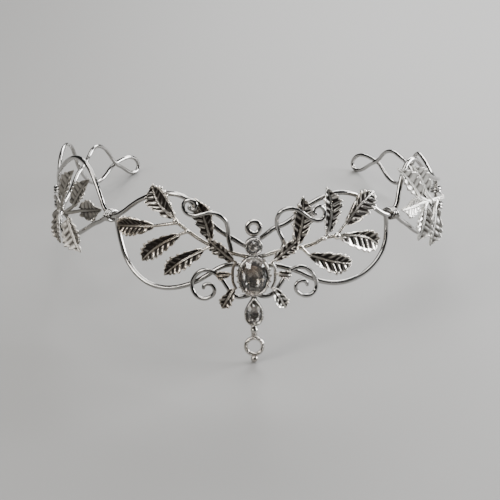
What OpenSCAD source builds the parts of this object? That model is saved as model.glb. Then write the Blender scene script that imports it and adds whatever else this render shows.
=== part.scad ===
// Open-backed tiara of bent silver wire with cast leaf sprigs and a three-stone centre drop.
// It stands on the tip of the centre drop and on the two end loops. Millimetres, +Z up,
// the brow towards -Y, and the origin on the table under the middle of the box round it.

/* [Band in plan] */
// Radius of the brow arc
brow_r = 67; // [64:1:70]
// Heading at the end of the brow arc, in degrees
brow_end = 48; // [46:1:50]
// Radius of the temple stretch
temple_r = 154; // [140:2:170]
// Heading at the end of the temple stretch, in degrees
temple_end = 60; // [58:1:62]
// Radius of the bend behind the temple
bend_r = 58; // [52:1:64]
// Heading at the end of that bend, in degrees
bend_end = 88; // [86:1:90]
// Radius of the back arms
back_r = 120; // [110:2:130]
// Lean of the band when it stands, brow high and back low, in degrees
rest_lean = 16; // [14:0.5:18]

/* [Wire] */
// Diameter of the wire of the four oval frames
frame_wire = 1.8; // [1.5:0.05:1.85]
// Diameter of the wire of the back arms
arm_wire = 1.7; // [1.5:0.05:1.75]
// Diameter of the wire of the scrolls
scroll_wire = 1.4; // [1.1:0.05:1.4]
// Diameter of the binding wire
wrap_wire = 1; // [0.8:0.05:1.05]
// Air between a rod and what lies beside it
seat_gap = 0.12; // [0.1:0.02:0.2]

/* [Leaves] */
// Thickness of a cast leaf
leaf_gauge = 0.9; // [0.7:0.1:1.1]
// Teeth on each side of a leaf
leaf_teeth = 5; // [4:1:6]
// Height that the margin curls up above the blade
leaf_cup = 0.7; // [0.3:0.1:1]
// Height of the midrib above the blade
leaf_rib = 0.5; // [0.2:0.1:0.7]
// Height of the side veins above the blade
leaf_vein = 0.3; // [0.1:0.05:0.4]
// Outward bow of a blade between its base and its tip
leaf_bow = 0.6; // [0.3:0.1:0.8]
// Diameter of the main stem of a sprig
stem_d = 1.5; // [1.2:0.1:1.8]

/* [Centre drop] */
// Radius of the round stone at the top
round_r = 2.3; // [2:0.1:2.6]
// Half width of the large oval stone
oval_rx = 4.9; // [4.4:0.1:5.2]
// Half height of the large oval stone
oval_ry = 6.4; // [5.8:0.1:6.8]
// Half width of the pear stone
pear_rx = 3; // [2.6:0.1:3.3]
// Height of the pear stone
pear_h = 8.6; // [8:0.1:9]
// Wall of the cups that hold the stones
cup_wall = 0.8; // [0.6:0.1:1]
// Air between a stone and its cup
stone_gap = 0.1; // [0.08:0.02:0.16]
// Hole of the eye at the top
eye_hole = 2.4; // [2:0.1:2.8]

/* [Hidden] */

silver = "#b9b8b4";
dark_silver = "#7d786e";
crystal = "#dfe3e6";

// Sides of a wire, and of the thin stems and binding wire
wire_sides = 6;
thin_sides = 5;
// Points in one turn of binding wire, and its rise in one turn
coil_steps = 8;
coil_rise = wrap_wire + seat_gap;
// Distance of two rods that lie side by side, half of it
pair_half = frame_wire / 2 + seat_gap / 2;

// Places on the band are [s, t, o]: s along it from the middle of the brow, t up across
// it and o outwards from it. A side is described once, with s positive.
band_arcs = [[brow_r, brow_end], [temple_r, temple_end], [bend_r, bend_end], [back_r, 180]];

// Oval brow frames, upper and lower wire [s, t, o]
front_upper_left = [[2.2, -8.8, 0], [4.4, -7.6, 0], [7, -6, 0], [10, -4.3, 0],
    [13.5, -1.8, 0], [17.5, 2.2, 0], [21.5, 6.2, 0], [26, 8.8, 0], [31.5, 9.3, 0],
    [37, 8.5, 0], [42, 6.7, 0], [47, 4, 0], [51.5, 1, 0.4], [55, -0.8, 1],
    [58, -1.4, 1.06], [60.6, -1.45, 1.06]];
front_lower_left = [[54.4, -0.5, 1], [55.2, -3.4, 0.4], [54.8, -7, 0], [53.5, -11, 0],
    [51.5, -15.5, 0], [48.2, -19.5, 0], [44, -22.6, 0], [39.6, -24.4, 0], [34.8, -25.1, 0],
    [30, -24.8, 0], [25, -23.5, 0], [20.6, -21.7, 0], [16.6, -19.3, 0], [12.8, -16.8, 0],
    [9, -15.3, 0], [5.6, -15.1, 0], [3.2, -15.7, 0]];
front_upper_right = [[2.2, -6, 0], [4.4, -4.4, 0], [7.5, -2.2, 0], [11.2, -0.8, 0],
    [14.5, 1.4, 0], [17.8, 4.2, 0], [21.8, 6.5, 0], [26.3, 8.2, 0], [31, 9, 0], [36, 8.5, 0],
    [41, 6.7, 0], [46, 3.6, 0], [50.3, 0.5, 0.5], [54, -1.3, 1.06], [57.5, -1.5, 1.06],
    [60.2, -1.5, 1.06]];
front_lower_right = [[53.6, -1.1, 1], [54.9, -3.6, 0.4], [55.6, -6.6, 0], [55.5, -9.8, 0],
    [54.2, -13.6, 0], [51.4, -17, 0], [47.5, -19.9, 0], [43, -22, 0], [38.2, -23.3, 0],
    [33.5, -23.8, 0], [29, -23.5, 0], [24.5, -22.4, 0], [20, -20.4, 0], [16, -18.3, 0],
    [12, -16.8, 0], [8.4, -15.8, 0], [5.4, -15.5, 0], [3.2, -15.8, 0]];

// Oval temple frames [s, t, o]: the upper wire takes the rear end of the oval too
side_upper_left = [[56.6, -1.4, -0.82], [59.5, -1.4, -0.82], [61.8, -0.9, -0.5],
    [63.6, 1.1, -0.1], [65.4, 4.4, 0], [67.6, 8, 0], [70.4, 11.8, 0], [74, 15.1, 0],
    [78.6, 17, 0], [84, 17.2, 0], [90, 15.6, 0], [96.5, 12.8, 0], [103.5, 9.8, 0],
    [109.4, 7.4, 0], [113.8, 4.8, 0], [116, 1.2, 0], [116.3, -2.6, 0], [116.3, -6.6, 0],
    [115.4, -9.8, 0], [112.6, -12.2, 0]];
side_lower_left = [[61.2, -1.1, -0.6], [63.2, -2.9, -0.1], [66.5, -4.7, 0], [71, -6.4, 0],
    [76.5, -9, 0], [83, -11.8, 0], [90, -13.9, 0], [96, -14.6, 0], [102, -14.3, 0],
    [107.4, -13.5, 0], [112.6, -12.2, 0]];
side_upper_right = [[56.2, -1.5, -0.82], [59, -1.5, -0.82], [61, -0.8, -0.5],
    [62.4, 1.4, -0.1], [63.4, 4.8, 0], [64.8, 9.2, 0], [67, 13.4, 0], [70.6, 16.2, 0],
    [75, 16.6, 0], [79.4, 14.6, 0], [84, 11.2, 0], [89.5, 8.2, 0], [96, 6.2, 0],
    [103, 4.9, 0], [109.4, 3.9, -0.3], [114, 2.6, -0.7], [116.1, 0.2, -0.8],
    [116.3, -3.8, -0.5], [116.3, -8, 0], [115.4, -10.8, 0], [113, -12.8, 0]];
side_lower_right = [[60.6, -1.1, -0.6], [62.2, -3, -0.1], [65, -5, 0], [69.6, -7.4, 0],
    [76, -10.8, 0], [82, -12.9, 0], [88, -13.9, 0], [94.5, -14.7, 0], [101.5, -14.8, 0],
    [107.8, -14.3, 0], [113, -12.8, 0]];

// One wire makes a whole back arm [s, t, o]: over the first arch, under the second, round
// the end loop, and back over the second and under the first. It crosses itself twice, and
// both its tails lie along the rear end of the temple frame.
end_loop = [[187, 0.1, 0.96], [191, 1.5, 0.4], [195, 2.3, 0], [198.8, 2, 0], [201.9, 0.4, 0],
    [203.4, -2, 0], [202.3, -4.3, 0], [199.3, -5.1, 0], [196.1, -4.2, 0], [193.3, -2.6, 0],
    [190.4, -1.2, -0.4], [187, 0.1, -0.96]];
arm_out_left = [[118.15, -1.3, 0], [118.15, 0.8, 0], [118.3, 2.9, 0], [119, 6, 0],
    [121, 9.1, 0], [124.6, 11.8, 0], [129.4, 13.9, 0], [134.9, 15.2, 0],
    [140, 15.2, 0], [145, 13.5, 0], [150.2, 9.2, 0.4], [155.6, 3.3, 0.96], [159.6, -0.9, 0.5],
    [164, -4, 0], [169, -5.5, 0], [174, -5.3, 0], [178.6, -3.6, 0], [182.8, -1.5, 0.4]];
arm_back_left = [[184.5, 2.6, -0.4], [181.5, 6.1, 0], [177.4, 9, 0], [172.8, 10.2, 0],
    [168, 9.3, 0], [163.9, 6.6, 0], [160, 4.5, -0.5], [155.6, 3.3, -0.96], [152, 1.8, -0.5],
    [148.8, -0.8, 0], [143.6, -4, 0], [136.2, -6.8, 0], [130, -8.4, 0], [125, -9.8, 0],
    [121.4, -10.8, 0], [119, -9.6, 0], [118.2, -7.4, 0], [118.15, -4.5, 0]];
arm_out_right = [[118.15, -2.7, -0.7], [118.15, -0.8, -0.7], [118.8, 0.9, -0.7],
    [120.8, 2, -0.6], [124.4, 2.3, -0.3], [130.6, 2.9, 0], [137.2, 4.9, 0], [143.6, 7.2, 0],
    [149.6, 8.7, 0], [154.4, 7.2, 0.5], [158.4, 2.9, 0.96], [161.6, -1.4, 0.5],
    [165, -5, 0], [169.4, -7, 0], [174, -6.9, 0], [178.6, -5, 0], [182.8, -2.2, 0.4]];
arm_back_right = [[184.3, 1.8, -0.4], [181.4, 4.6, 0], [177.6, 6.2, 0], [173.2, 6.4, 0],
    [169, 5.3, 0], [165.2, 4.2, 0], [162, 3.7, -0.5], [158.4, 2.9, -0.96],
    [154.4, 0.2, -0.5], [150, -3.6, 0], [144.6, -6.8, 0], [138, -8.6, 0], [131.5, -9.9, 0],
    [126, -11.5, 0], [122.2, -12.9, 0], [119.6, -12.4, 0], [118.3, -10.4, 0],
    [118.15, -8.2, 0], [118.15, -5.6, -0.3]];

// Scrolls [s, t, o]: they lie on the brow frames and end in a spiral
upper_scroll_row_left = [[8.2, -7.4, 1.55], [8.6, -5.6, 1.55], [8.7, -3.6, 1.6],
    [8.8, -1.6, 1.9], [9.2, 0.4, 2.7], [10.4, 2.2, 3.3], [12.4, 3.5, 3.6], [14.8, 3.9, 3.6],
    [17.4, 3.3, 3.6], [19.8, 2.7, 3.6], [22.2, 3.2, 3.6], [23.7, 5, 3.6], [23.5, 7, 3.6],
    [21.9, 8.1, 3.6], [20, 7.7, 3.6], [19.2, 6.2, 3.6], [20, 4.9, 3.7], [21.4, 5.2, 3.8],
    [21.7, 6.3, 3.9]];
upper_scroll_row_right = [[9.8, -5.6, 1.7], [9, -3.8, 1.6], [8.3, -1.9, 1.6],
    [7.9, 0.4, 1.9], [8.2, 2.6, 2.8], [9.3, 4.3, 3.4], [11.2, 5.1, 3.6], [13.6, 5, 3.6],
    [15.9, 3.9, 3.6], [18, 2.3, 3.6], [20, 0.9, 3.6], [22.2, 0.3, 3.6], [23.9, 1.2, 3.6],
    [24.4, 3, 3.6], [23.6, 4.8, 3.6], [22, 5.5, 3.7], [20.6, 4.6, 3.7], [20.5, 3.1, 3.8],
    [21.6, 2.6, 3.9]];
lower_scroll_row_left = [[3.3, -26.2, 1.9], [5.6, -26.4, 1.9], [7.6, -25.2, 1.8],
    [9.2, -23, 1.7], [10.7, -20.7, 1.6], [12.6, -18.7, 1.55], [14.9, -17.4, 1.55],
    [17.2, -17.1, 1.55], [19.4, -18.1, 1.55], [21, -20, 1.55], [21.8, -22.3, 1.55],
    [21.4, -24.8, 1.6], [19.8, -26.7, 1.8], [17.5, -27.4, 2], [15.2, -26.7, 2.1],
    [13.7, -25, 2.2], [13.8, -23, 2.3], [15.4, -21.9, 2.4], [17.1, -22.5, 2.5],
    [17.5, -23.9, 2.6]];
lower_scroll_row_right = [[3.3, -26.2, 1.9], [5.4, -26, 1.9], [7.4, -24.4, 1.8],
    [9, -22.3, 1.7], [10.6, -19.8, 1.6], [12.4, -17.6, 1.6], [14.8, -16.4, 1.6],
    [17.1, -16.3, 1.6], [19.3, -17.4, 1.6], [21, -19.2, 1.6], [22, -21.6, 1.6],
    [22.1, -24.2, 1.6], [20.8, -26.1, 1.8], [18.5, -26.8, 2], [16.2, -26, 2.1],
    [14.6, -24.2, 2.2], [14.7, -22.2, 2.3], [16.3, -21.1, 2.4], [18.1, -21.6, 2.5],
    [18.7, -23.2, 2.6]];

// Main stems of the sprigs [s, t, o]
front_stem_left = [[3.9, -11.5, 1.8], [6.6, -10.8, 1.8], [9.5, -9.9, 1.7],
    [12.5, -8.9, 1.7], [15.4, -7.8, 1.7], [19, -5.9, 1.7], [23.2, -3.2, 1.6],
    [27.6, 0, 1.5]];
front_stem_right = [[3.9, -11.5, 1.8], [6.8, -10.6, 1.8], [9.6, -10, 1.7],
    [12.8, -9.6, 1.7], [17.1, -9.1, 1.7], [21.6, -8, 1.7], [25, -6.5, 1.6],
    [30, -6.2, 1.6]];
side_stem_left = [[116, -2.7, 1.62], [111.5, -2.2, 1.7], [105.5, -1, 1.8], [99, -1.4, 1.9],
    [94.5, -3.4, 1.9], [91, -5.2, 1.9]];
side_stem_right = [[116, -3.8, 1.62], [109.5, -3.2, 1.7], [102, -2.2, 1.8],
    [94.5, -1.3, 1.9], [87.5, -0.8, 1.9], [82, -0.4, 1.9]];

// Leaves: where the stalk leaves the stem [s, t], where the blade begins [s, t], its tip
// [s, t], its width, its roll about its own axis, the outward places of its base and tip, and
// how far it bows sideways
front_leaves_left = [
    [[27.4, -0.2], [27.9, 1.2], [36.9, 13.2], 8.8, -6, 1.6, 1.2, -0.8],
    [[26.8, -0.6], [36.1, -2.4], [52.9, -3.9], 8, 8, 1.9, 2.3, 0],
    [[23, -3.4], [25.9, -4.7], [41.3, -15.6], 7.2, 12, 1.8, 2.2, 0.8],
    [[14.4, -8.2], [17.4, -9.7], [32.1, -19.9], 7, 14, 1.8, 2.4, 0.7],
    [[14.2, -8.2], [14.8, -6.2], [20.6, 8.6], 7.6, 0, 1.6, 1.3, 0.9]];
front_leaves_right = [
    [[29.8, -6.2], [33.5, -2.1], [46.6, 8.3], 9, -8, 1.8, 1.4, 1.3],
    [[29.6, -6.2], [31, -6.4], [48.1, -11.6], 8.8, 10, 1.9, 2.4, 0.6],
    [[16.6, -9.2], [19.6, -12.3], [36, -16.6], 8.6, 12, 1.9, 2.5, -1],
    [[25, -6.6], [26.3, -4.9], [26.1, 11.7], 7.6, -3, 1.7, 1.3, -1.5],
    [[14.4, -9.4], [15.1, -8], [17.3, 9], 8.2, 0, 1.5, 1.3, -0.7]];
side_leaves_left = [
    [[95, -3.2], [92, 0.8], [81.8, 12.9], 6.6, -6, 1.9, 1.9, 0],
    [[91.4, -5], [82.8, -1], [70.3, 10.7], 6.8, -12, 1.9, 1.9, 0],
    [[91.2, -5.2], [75.4, -1.6], [61.8, 0.6], 7.6, -8, 2, 2.5, 0],
    [[91.3, -5], [86.4, -6.2], [75.8, -17.6], 7.4, 40, 2.6, 3.2, 0],
    [[98.4, -1.6], [99, -4.5], [98.4, -18.2], 6.4, 10, 1.9, 1.9, 0]];
side_leaves_right = [
    [[87, -0.8], [81.8, 2.6], [69.6, 14.9], 7, -16, 2, 2.1, 0],
    [[82.6, -0.4], [75.4, 2.2], [59.4, 15.2], 7, -16, 2.2, 2.1, 0],
    [[82.4, -0.4], [75, -0.3], [61.2, -0.5], 8, -8, 2.2, 2.8, 0],
    [[83, -0.5], [79.6, -1.9], [73.4, -14], 7.2, 38, 2.4, 3, 0],
    [[93.2, -1.2], [90.4, -4.2], [85.6, -18.4], 6.8, 22, 2, 2.1, 0]];
centre_leaves = [
    [[5.9, -13.4], [6.9, -13.1], [15.6, -5.4], 5.6, 8, 3.5, 3.2, 0],
    [[7.1, -17.6], [8, -17.9], [13, -18.6], 3.8, 0, 3.5, 3.2, 0],
    [[5.9, -23.2], [6.8, -23.2], [11, -30.6], 5, -8, 3.5, 3, 0]];
// Branch that carries the leaves beside the large stone, and its diameter
centre_branch = [[5.8, -13.2, 3.1], [6.95, -15.6, 3.1], [7.15, -18.4, 3.1],
    [6.95, -21, 3.1], [5.8, -23.4, 3.1]];
branch_d = 1.1;

// Wraps: the place [s, t, o] of their middle, between the two rods that they hold
temple_wrap_left_at = [58.9, -1.45, 0];
temple_wrap_right_at = [58.1, -1.5, 0];
rear_wrap_s = 117.2;
rear_wraps_left = [[rear_wrap_s, 0.1, 0], [rear_wrap_s, -5.8, 0]];
rear_wraps_right = [[rear_wrap_s, -1.5, -0.65], [rear_wrap_s, -7.9, 0]];
// Room that an oval wrap needs past its rods, at its ends and at its sides
wrap_end_room = 0.3;
wrap_side_room = 0.5;
// Half of the way that a wrap takes round its two rods: along the row of both, and across it
wrap_long = pair_half + frame_wire / 2 + wrap_wire / 2 + wrap_end_room;
wrap_short = frame_wire / 2 + wrap_wire / 2 + wrap_side_room;
// Outer face of the frame wires: what lies on them is placed over it
frame_face_o = 0.75;

// Shape of a leaf: width at the notches, forward sweep of the notches and of the teeth,
// and how much thinner the blade and the midrib are at the tip
notch_share = 0.8;
notch_sweep = 0.5;
tooth_sweep = 0.85;
blade_taper = 0.4;
rib_taper = 0.7;
// Ends of the tapered wires, as shares of the wire; stalks, as shares of the stem, and how
// far a stalk runs into its blade
scroll_taper = 0.8;
stem_taper = 0.7;
stalk_start = 0.75;
stalk_end = 0.55;
stalk_in = 1.6;

// Heights on the centre line, at the middle of each piece
eye_t = -1.6;
round_t = -8;
oval_t = -18.6;
pear_t = -31.4;
knot_t = -38.6;
// Outward places: back of the setting, floor of the cups, girdle of the stones, cup rim
setting_o = 1;
cup_floor_o = 2;
girdle_o = 4;
rim_o = 4.5;
// Eye ring: thickness and outer radius
eye_o = 1.2;
eye_r = 3.1;
// Beads round the oval cup
bead_count = 22;
bead_r = 0.45;
bead_o = 2.6;
bead_out = 0.15;
// Corner of a table, as a share of the girdle, and half of the girdle's height
table_share = 0.58;
girdle_half = 0.15;
// Back bar that joins the cups: half width
bar_half = 1.1;
// Ring and balls of the finial, and how far soldered pieces reach into each other
weld = 0.4;
ring_r = 3;
ring_wire = 1.4;
ball_r = 1.3;

// Plan of the band: [x, y, heading] at the length s from the middle
function plan(s, i = 0, x = 0, y = 0, a = 0) =
    let (r = band_arcs[i][0],
        b = min(band_arcs[i][1], a + s / r * 180 / PI),
        next_x = x + r * (sin(b) - sin(a)),
        next_y = y + r * (cos(a) - cos(b)))
    b < band_arcs[i][1] ? [next_x, next_y, b]
        : plan(s - r * (b - a) * PI / 180, i + 1, next_x, next_y, b);

// Band place to upright coordinates: x across, y up the band, z towards the front
function at(p) = let (q = plan(p[0])) [q[0] + sin(q[2]) * p[2], p[1], cos(q[2]) * p[2] - q[1]];
function outwards(p) = let (a = plan(p[0])[2]) [sin(a), 0, cos(a)];
function along(p) = let (a = plan(p[0])[2]) [cos(a), 0, -sin(a)];
// Height above the table of a point in upright coordinates, before the band is lifted
function rest_height(q) = q[1] * cos(rest_lean) + q[2] * sin(rest_lean);
// Distance towards the back of such a point, from the middle of the brow
function rest_back(q) = q[1] * sin(rest_lean) - q[2] * cos(rest_lean);

// Smooth curve through the rows of a table, k steps between two rows
function row(m, i) = m[max(0, min(len(m) - 1, i))];
function between(a, b, c, d, u) =
    0.5 * (2 * b + (c - a) * u + (2 * a - 5 * b + 4 * c - d) * u * u
        + (3 * b - a - 3 * c + d) * u * u * u);
function smooth(m, k) = concat(
    [for (i = [0 : len(m) - 2], j = [0 : k - 1])
        between(row(m, i - 1), m[i], m[i + 1], row(m, i + 2), j / k)],
    [m[len(m) - 1]]);

// Rings of a round wire along a path, with a direction across it at each point
function unit(v) = v / norm(v);
function wire_rings(path, sides_to, r, r_end, sides) =
    [for (i = [0 : len(path) - 1])
        let (d = unit(row(path, i + 1) - row(path, i - 1)),
            u = unit(cross(d, sides_to[i])),
            v = cross(u, d),
            ring_r = r + (r_end - r) * i / (len(path) - 1))
        [for (j = [0 : sides - 1])
            path[i] + ring_r * (cos(360 * j / sides) * u + sin(360 * j / sides) * v)]];
function band_wire(m, k, d, d_end, sides, shift = 0) =
    let (rows = [for (p = smooth(m, k)) p + [0, 0, shift]])
    wire_rings([for (p = rows) at(p)], [for (p = rows) outwards(p)], d / 2, d_end / 2, sides);

// Binding wire round the place c, with its axis up the band or along it; half_o and half_w are
// the halves of its middle line outwards and across
function coil_rings(c, turns, half_o, half_w, upright) =
    let (rows = [for (i = [0 : turns * coil_steps])
        let (f = i / coil_steps,
            run = (f - turns / 2) * coil_rise,
            w = half_w * sin(360 * f),
            o = half_o * cos(360 * f))
        upright ? c + [w, run, o] : c + [run, w, o]])
    wire_rings([for (p = rows) at(p)], [for (p = rows) upright ? [0, 1, 0] : along(p)],
        wrap_wire / 2, wrap_wire / 2, thin_sides);

// Blade outline: half width at u from 0 at the base to 1 at the tip
function blade_half(u) = pow(sin(180 * pow(u, 0.9)), 0.65);

// Rings across a leaf: the upper face from edge to edge, then the lower face back
function leaf_rings(base, tip, width, roll, base_o, tip_o, side_bow, teeth) =
    let (span = tip - base,
        length = norm(span),
        d = span / length,
        c = [-d[1], d[0]],
        n = 2 * teeth)
    [for (i = [0 : n])
        let (u = i / n,
            tooth = i % 2 == 1 ? 1 : 0,
            half = max(0.3, width / 2 * blade_half(u) * (tooth == 1 ? 1 : notch_share)),
            sweep = (1 - u) * half * (tooth == 1 ? tooth_sweep : notch_sweep),
            bow = leaf_bow * sin(180 * u),
            gauge = leaf_gauge * (1 - blade_taper * u),
            rib = leaf_rib * (1 - rib_taper * u),
            vein = leaf_vein * tooth,
            rim = leaf_cup * min(1, half / 2),
            profile = [[-half, sweep, rim], [-half / 2, sweep / 2, vein], [0, 0, rib],
                [half / 2, sweep / 2, vein], [half, sweep, rim],
                [half, sweep, rim - gauge], [0, 0, -gauge], [-half, sweep, rim - gauge]])
        [for (p = profile)
            let (run = u * length + p[1],
                flat = base + run * d + (p[0] * cos(roll) + side_bow * sin(180 * u)) * c,
                o = base_o + (tip_o - base_o) * u + bow + p[0] * sin(roll) + p[2])
            at([flat[0], flat[1], o])]];

// Closed solid through rings of equal count
module loft(rings) {
    m = len(rings[0]);
    last = len(rings) - 1;
    polyhedron(
        points = [for (ring = rings) each ring],
        faces = concat(
            [[for (j = [m - 1 : -1 : 0]) j]],
            [for (i = [0 : last - 1], j = [0 : m - 1])
                [i * m + j, i * m + (j + 1) % m, (i + 1) * m + (j + 1) % m, (i + 1) * m + j]],
            [[for (j = [0 : m - 1]) last * m + j]]));
}

// Lift that brings the lowest point of the end loops down to the table
function arm_rings(out, back) =
    band_wire(concat(out, end_loop, back), 2, arm_wire, arm_wire, wire_sides);
arm_points = [for (ring = arm_rings(arm_out_left, arm_back_left), q = ring) q];
lift = -min([for (q = arm_points) rest_height(q)]);
// Centre line of the drop where it meets the table: middle of the last ball
drop_o = cup_floor_o;
drop_t = (ball_r - lift - drop_o * sin(rest_lean)) / cos(rest_lean);
ring_t = drop_t + ball_r + ring_r + ring_wire / 2 - weld;

// Front of the last ball and back of the arms, so that the origin lies halfway
front_y = drop_t * sin(rest_lean) - drop_o * cos(rest_lean) - ball_r;
back_y = max([for (q = arm_points) rest_back(q)]);

// Stands the upright band on the table
module stand() {
    translate([0, -(front_y + back_y) / 2, lift]) rotate([90 - rest_lean, 0, 0]) children();
}

// The other side of the band
module other_side() {
    mirror([1, 0, 0]) children();
}

// Parts that are soldered or cast together
module fused() {
    resize([0, 0, 0]) union() children();
}

// Outlines of the stones and their cups
function oval(rx, ry, count, turn = 0) =
    [for (i = [0 : count - 1]) let (a = 360 * i / count + turn) [rx * cos(a), ry * sin(a)]];
function pear(rx, h, count, turn = 0) =
    [for (i = [0 : count - 1])
        let (a = 360 * i / count + turn, point = (1 + sin(a)) / 2)
        [rx * cos(a) * (1 - 0.72 * pow(point, 2.2)), h * (sin(a) / 2)]];

module frame(upper, lower) {
    shift = frame_face_o - frame_wire / 2;
    color(silver) stand() fused() {
        loft(band_wire(upper, 2, frame_wire, frame_wire, wire_sides, shift));
        loft(band_wire(lower, 2, frame_wire, frame_wire, wire_sides, shift));
    }
}

module scroll(path) {
    color(silver) stand()
        loft(band_wire(path, 2, scroll_wire, scroll_wire * scroll_taper, thin_sides));
}

module leaf(leaf_row, teeth) {
    loft(leaf_rings(leaf_row[1], leaf_row[2], leaf_row[3], leaf_row[4], leaf_row[5],
        leaf_row[6], leaf_row[7], teeth));
}

// Stalk from the stem to just inside the blade
module stalk(leaf_row, from_o) {
    start = leaf_row[0];
    base = leaf_row[1];
    inside = base + unit(leaf_row[2] - base) * stalk_in;
    loft(band_wire([[start[0], start[1], from_o], [base[0], base[1], leaf_row[5]],
        [inside[0], inside[1], leaf_row[5]]], 1, stem_d * stalk_start, stem_d * stalk_end,
        thin_sides));
}

module sprig(stem, leaves, teeth) {
    color(dark_silver) stand() fused() {
        loft(band_wire(stem, 1, stem_d, stem_d * stem_taper, wire_sides));
        for (leaf_row = leaves) {
            leaf(leaf_row, teeth);
            stalk(leaf_row, stem[2][2]);
        }
    }
}

module temple_wrap(place) {
    color(silver) stand() fused()
        loft(coil_rings(place, 3, wrap_long, wrap_short, false));
}

module rear_wrap(place) {
    color(silver) stand() fused()
        loft(coil_rings(place, 2.5, wrap_short, wrap_long, true));
}

module back_arm(out, back) {
    color(silver) stand() loft(arm_rings(out, back));
}

module eye_ring() {
    color(silver) stand() translate([0, eye_t, cup_floor_o - eye_o / 2]) difference() {
        cylinder(h = eye_o, r = eye_r, $fn = 48);
        translate([0, 0, -1]) cylinder(h = eye_o + 2, d = eye_hole, $fn = 48);
    }
}

// Cup round a stone: outline is the outside, inside is the stone's own outline
module cup(outside, inside) {
    translate([0, 0, setting_o]) linear_extrude(rim_o - setting_o) difference() {
        polygon(outside);
        polygon(inside);
    }
    translate([0, 0, setting_o]) linear_extrude(cup_floor_o - setting_o) polygon(outside);
}

module centre_setting() {
    out = cup_wall + stone_gap;
    bead_row = out + bead_out;
    color(silver) stand() {
        translate([0, round_t, 0])
            cup(oval(round_r + out, round_r + out, 24),
                oval(round_r + stone_gap, round_r + stone_gap, 24));
        translate([0, oval_t, 0]) {
            cup(oval(oval_rx + out, oval_ry + out, 32),
                oval(oval_rx + stone_gap, oval_ry + stone_gap, 32));
            for (p = oval(oval_rx + bead_row, oval_ry + bead_row, bead_count))
                translate([p[0], p[1], bead_o]) sphere(r = bead_r, $fn = 16);
        }
        translate([0, pear_t, 0])
            cup(pear(pear_rx + out, pear_h + 2 * out, 28),
                pear(pear_rx + stone_gap, pear_h + 2 * stone_gap, 28));
        translate([-bar_half, ring_t + ring_r - weld, setting_o])
            cube([2 * bar_half, round_t - ring_t - ring_r, cup_floor_o - setting_o]);
        translate([0, knot_t, drop_o]) sphere(r = ball_r, $fn = 24);
        translate([0, ring_t, drop_o]) difference() {
            cylinder(h = ring_wire, r = ring_r + ring_wire / 2, center = true, $fn = 32);
            cylinder(h = ring_wire + 1, r = ring_r - ring_wire / 2, center = true, $fn = 32);
        }
        translate([0, drop_t, drop_o]) sphere(r = ball_r, $fn = 24);
    }
}

// Cut stone: table, crown, girdle and pavilion over an outline
module stone(table, girdle, crown_h, depth) {
    n = len(girdle);
    points = concat(
        [for (p = table) [p[0], p[1], crown_h]],
        [for (p = girdle) [p[0], p[1], girdle_half]],
        [for (p = girdle) [p[0], p[1], -girdle_half]],
        [[0, 0, -depth]]);
    polyhedron(points = points, faces = concat(
        [[for (j = [n - 1 : -1 : 0]) j]],
        [for (j = [0 : n - 1]) [j, (j + 1) % n, n + (j + 1) % n]],
        [for (j = [0 : n - 1]) [j, n + (j + 1) % n, n + j]],
        [for (j = [0 : n - 1]) [n + j, n + (j + 1) % n, 2 * n + (j + 1) % n]],
        [for (j = [0 : n - 1]) [n + j, 2 * n + (j + 1) % n, 2 * n + j]],
        [for (j = [0 : n - 1]) [2 * n + j, 2 * n + (j + 1) % n, 3 * n]]));
}

module round_stone() {
    color(crystal) stand() translate([0, round_t, girdle_o])
        stone(oval(round_r * table_share, round_r * table_share, 12, 15),
            oval(round_r, round_r, 12), 0.9, 1.6);
}

module oval_stone() {
    color(crystal) stand() translate([0, oval_t, girdle_o])
        stone(oval(oval_rx * table_share, oval_ry * table_share, 16, 11.25),
            oval(oval_rx, oval_ry, 16), 1.9, 1.8);
}

module pear_stone() {
    color(crystal) stand() translate([0, pear_t, girdle_o])
        stone(pear(pear_rx * table_share, pear_h * table_share, 14, 13),
            pear(pear_rx, pear_h, 14), 1.3, 1.7);
}

module centre_leaf() {
    color(silver) stand() fused() {
        loft(band_wire(centre_branch, 1, branch_d, branch_d, thin_sides));
        for (leaf_row = centre_leaves) {
            leaf(leaf_row, leaf_teeth - 1);
            stalk(leaf_row, centre_branch[0][2]);
        }
    }
}

eye_ring();
centre_setting();
round_stone();
oval_stone();
pear_stone();
other_side() centre_leaf();  // centre_leaf_left
centre_leaf();  // centre_leaf_right
other_side() frame(front_upper_left, front_lower_left);  // front_frame_left
frame(front_upper_right, front_lower_right);  // front_frame_right
other_side() scroll(upper_scroll_row_left);  // upper_scroll_left
scroll(upper_scroll_row_right);  // upper_scroll_right
other_side() scroll(lower_scroll_row_left);  // lower_scroll_left
scroll(lower_scroll_row_right);  // lower_scroll_right
other_side() sprig(front_stem_left, front_leaves_left, leaf_teeth);  // front_sprig_left
sprig(front_stem_right, front_leaves_right, leaf_teeth);  // front_sprig_right
other_side() temple_wrap(temple_wrap_left_at);  // temple_wrap_left
temple_wrap(temple_wrap_right_at);  // temple_wrap_right
other_side() frame(side_upper_left, side_lower_left);  // side_frame_left
frame(side_upper_right, side_lower_right);  // side_frame_right
other_side() sprig(side_stem_left, side_leaves_left, leaf_teeth - 1);  // side_sprig_left
sprig(side_stem_right, side_leaves_right, leaf_teeth - 1);  // side_sprig_right
other_side() rear_wrap(rear_wraps_left[0]);  // rear_wrap_upper_left
rear_wrap(rear_wraps_right[0]);  // rear_wrap_upper_right
other_side() rear_wrap(rear_wraps_left[1]);  // rear_wrap_lower_left
rear_wrap(rear_wraps_right[1]);  // rear_wrap_lower_right
other_side() back_arm(arm_out_left, arm_back_left);  // back_arm_left
back_arm(arm_out_right, arm_back_right);  // back_arm_right
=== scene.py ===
"""Open-backed silver tiara: round wires, cast leaf sprigs and a stone-set centre drop."""
import math

import bmesh
import bpy
from mathutils import Matrix, Vector


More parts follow.
